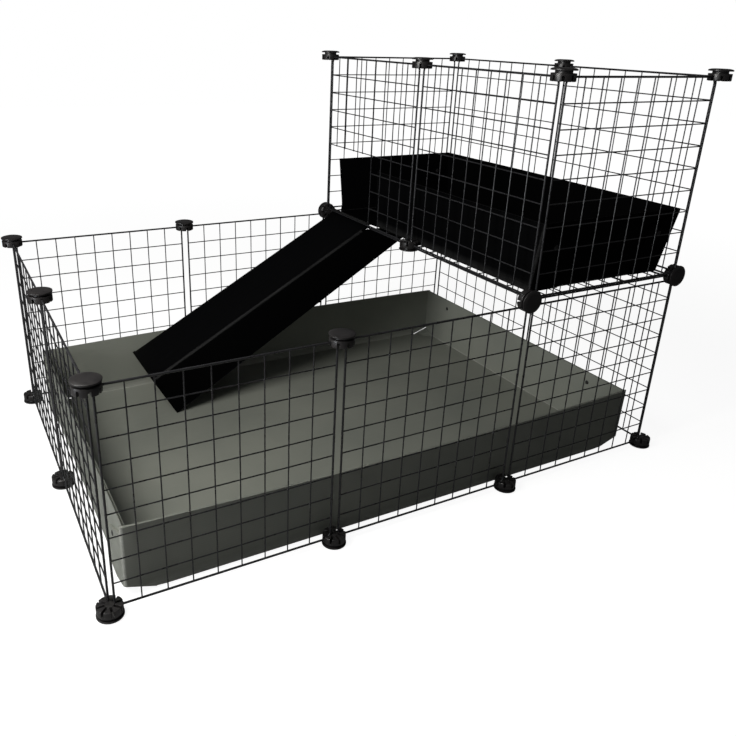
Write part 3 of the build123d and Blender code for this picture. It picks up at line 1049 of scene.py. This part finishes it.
# %% Turned rivets
rivet_profile = [
    (0.0, 0.00135),
    (0.0014, 0.00130),
    (0.0016, 0.00095),
    (0.0019, 0.00095),
    (0.0021, 0.00140),
    (0.0033, 0.00120),
    (0.0043, 0.00075),
    (0.0048, 0.00030),
    (0.0048, 0.0),
    (0.0020, 0.0),
    (0.0020, -0.0084),
    (0.0046, -0.0084),
    (0.0045, -0.0089),
    (0.0036, -0.0094),
    (0.0, -0.0096),
]
rivet_dome = 0.0016


def turned_mesh(name, profile, steps=24):
    """Turns (radius, height) points about the Z axis into a closed solid."""
    shape = bmesh.new()
    rings = []
    for radius, height in profile:
        count = steps if radius else 1
        angles = [2 * pi * k / steps for k in range(count)]
        ring = [shape.verts.new((radius * cos(a), radius * sin(a), height)) for a in angles]
        rings.append(ring if radius else ring * steps)
    for upper, lower in zip(rings, rings[1:]):
        for k in range(steps):
            following = (k + 1) % steps
            corners = [upper[k], lower[k], lower[following], upper[following]]
            shape.faces.new(list(dict.fromkeys(corners)))
    bmesh.ops.recalc_face_normals(shape, faces=shape.faces)
    mesh = bpy.data.meshes.new(name)
    shape.to_mesh(mesh)
    shape.free()
    return mesh


def rivet_places(node, outwards_of):
    """Where each rivet's head sits and which way it looks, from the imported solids."""
    points = [vert.co.copy() for vert in frame["nodes"][node].data.vertices]
    middle = sum(points, Vector()) / len(points)
    corners = {}
    for point in points:
        corners.setdefault((point.x > middle.x, point.y > middle.y), []).append(point)
    places = []
    for group in corners.values():
        centre = sum(group, Vector()) / len(group)
        outwards = outwards_of(centre).normalized()
        top = max((point - centre).dot(outwards) for point in group)
        places.append((centre + outwards * (top - rivet_dome), outwards))
    return places


def make_rivets(node, outwards_of, body):
    """All rivets of one tray."""
    meshes = []
    for spot, outwards in rivet_places(node, outwards_of):
        mesh = turned_mesh("rivet", rivet_profile)
        turn = Vector((0, 0, 1)).rotation_difference(outwards).to_matrix().to_4x4()
        mesh.transform(Matrix.Translation(spot) @ turn)
        meshes.append(mesh)
    return finish_piece("domed_" + node, meshes, rivet_finish, body, node)


def sideways(spot):
    """The base tray's end walls look left and right."""
    return Vector((1 if spot.x > 0 else -1, 0, 0))


def lengthways(spot):
    """The loft tray's end walls look to front and back and lean outwards."""
    return Vector((0, loft.height if spot.y > 0 else -loft.height, -loft.end_lean))


base_rivets = make_rivets("base_tray_rivets", sideways, "cage")
loft_rivets = make_rivets("loft_tray_rivets", lengthways, "loft_tray")
print("rivet faces", len(base_rivets.data.polygons), len(loft_rivets.data.polygons))

# %% [markdown]
# ## Floor and light
#
# The cage stands on a plain floor. A near lamp above its front left corner lights the tray and
# falls off to the right, a low lamp lights the left end from outside, and a weak one in front
# keeps the kerb's outer face from going black. The floor bounces only part of the light, and
# is lifted to white for the camera alone, which keeps the object's shadow and leaves the object's
# own colours as they are. Away from the object the lift grows, so no horizon shows.

# %% Floor
floor_size = 14.0
floor_drop = 0.0006
floor_bounce = 0.25
floor_lift = 0.92
clear_floor = (1.2, 3.2)


def white_floor():
    """A floor that reads as white paper to the camera and still takes a shadow."""
    mesh = bpy.data.meshes.new("floor")
    half_size = floor_size / 2
    signs = ((-1, -1), (1, -1), (1, 1), (-1, 1))
    corners = [(side * half_size, end * half_size, -floor_drop) for side, end in signs]
    mesh.from_pydata(corners, [], [(0, 1, 2, 3)])
    material, tree, shader = new_material("pale_floor")
    shader.inputs["Base Color"].default_value = (floor_bounce, floor_bounce, floor_bounce, 1.0)
    shader.inputs["Roughness"].default_value = 0.9
    shader.inputs["Specular IOR Level"].default_value = 0.0
    shader.inputs["Emission Color"].default_value = (1.0, 1.0, 1.0, 1.0)
    place = put(tree, "ShaderNodeTexCoord").outputs["Object"]
    away = put(tree, "ShaderNodeVectorMath", {0: place}, operation="LENGTH").outputs["Value"]
    near, far = clear_floor
    sockets = {"Value": away, "From Min": near, "From Max": far, "To Min": floor_lift, "To Max": 1.0}
    lift = put(tree, "ShaderNodeMapRange", sockets).outputs[0]
    seen = put(tree, "ShaderNodeLightPath").outputs["Is Camera Ray"]
    tree.links.new(maths(tree, "MULTIPLY", seen, lift), shader.inputs["Emission Strength"])
    mesh.materials.append(material)
    return linked_object("floor", mesh)


floor = white_floor()
print("floor", floor_size, "metres")

# %% World and lamps
ambient = 0.09
world = bpy.data.worlds.new("white_room")
scene.world = world
world.use_nodes = True
rays = put(world.node_tree, "ShaderNodeLightPath").outputs
seen = maths(world.node_tree, "MAXIMUM", rays["Is Camera Ray"], rays["Is Transmission Ray"])
strength = maths(world.node_tree, "ADD", maths(world.node_tree, "MULTIPLY", seen, 1.0 - ambient), ambient)
background = world.node_tree.nodes["Background"]
background.inputs["Color"].default_value = (1.0, 1.0, 1.0, 1.0)
world.node_tree.links.new(strength, background.inputs["Strength"])


def softbox(name, spot, aim, size, watts, colour):
    """A square lamp that looks at a point."""
    lamp = bpy.data.lights.new(name, "AREA")
    lamp.shape = "SQUARE"
    lamp.size = size
    lamp.energy = watts
    lamp.color = colour
    holder = linked_object(name, lamp)
    holder.location = spot
    holder.rotation_euler = (Vector(aim) - Vector(spot)).to_track_quat("-Z", "Y").to_euler()
    return holder


middle = (cad_low + cad_high) / 2
softbox(
    "key",
    spot=(-1.0, -0.33, 1.02),
    aim=(-0.3, -0.1, 0.0),
    size=0.55,
    watts=16.0,
    colour=(1.0, 0.99, 0.955),
)
softbox(
    "side",
    spot=(-2.4, -0.5, 0.32),
    aim=(-0.5, -0.1, 0.1),
    size=0.8,
    watts=20.0,
    colour=(0.93, 0.96, 1.0),
)
softbox(
    "fill",
    spot=(-0.9, -2.6, 2.4),
    aim=middle,
    size=2.0,
    watts=1.6,
    colour=(0.9, 0.98, 1.0),
)

# %% [markdown]
# ## Camera
#
# The photograph was taken from the front left, a little above the loft. Its lens and place were
# worked out from the connectors, whose real distances are known, so the camera is written down
# as a place, three turns, a lens and the small shift of a cropped picture.

# %% Camera
camera_data = bpy.data.cameras.new("camera")
camera = linked_object("camera", camera_data)
camera.location = (-0.692, -1.2383, 0.7898)
camera.rotation_euler = (radians(67.61), radians(-1.63), radians(-28.15))
camera_data.sensor_width = 36.0
camera_data.lens = 35.89
camera_data.shift_x = 0.0585
camera_data.shift_y = -0.0446
camera_data.clip_start = 0.01
camera_data.dof.use_dof = False
scene.camera = camera
scene.view_settings.view_transform = "Standard"
print("camera", tuple(camera.location), "lens", camera_data.lens)
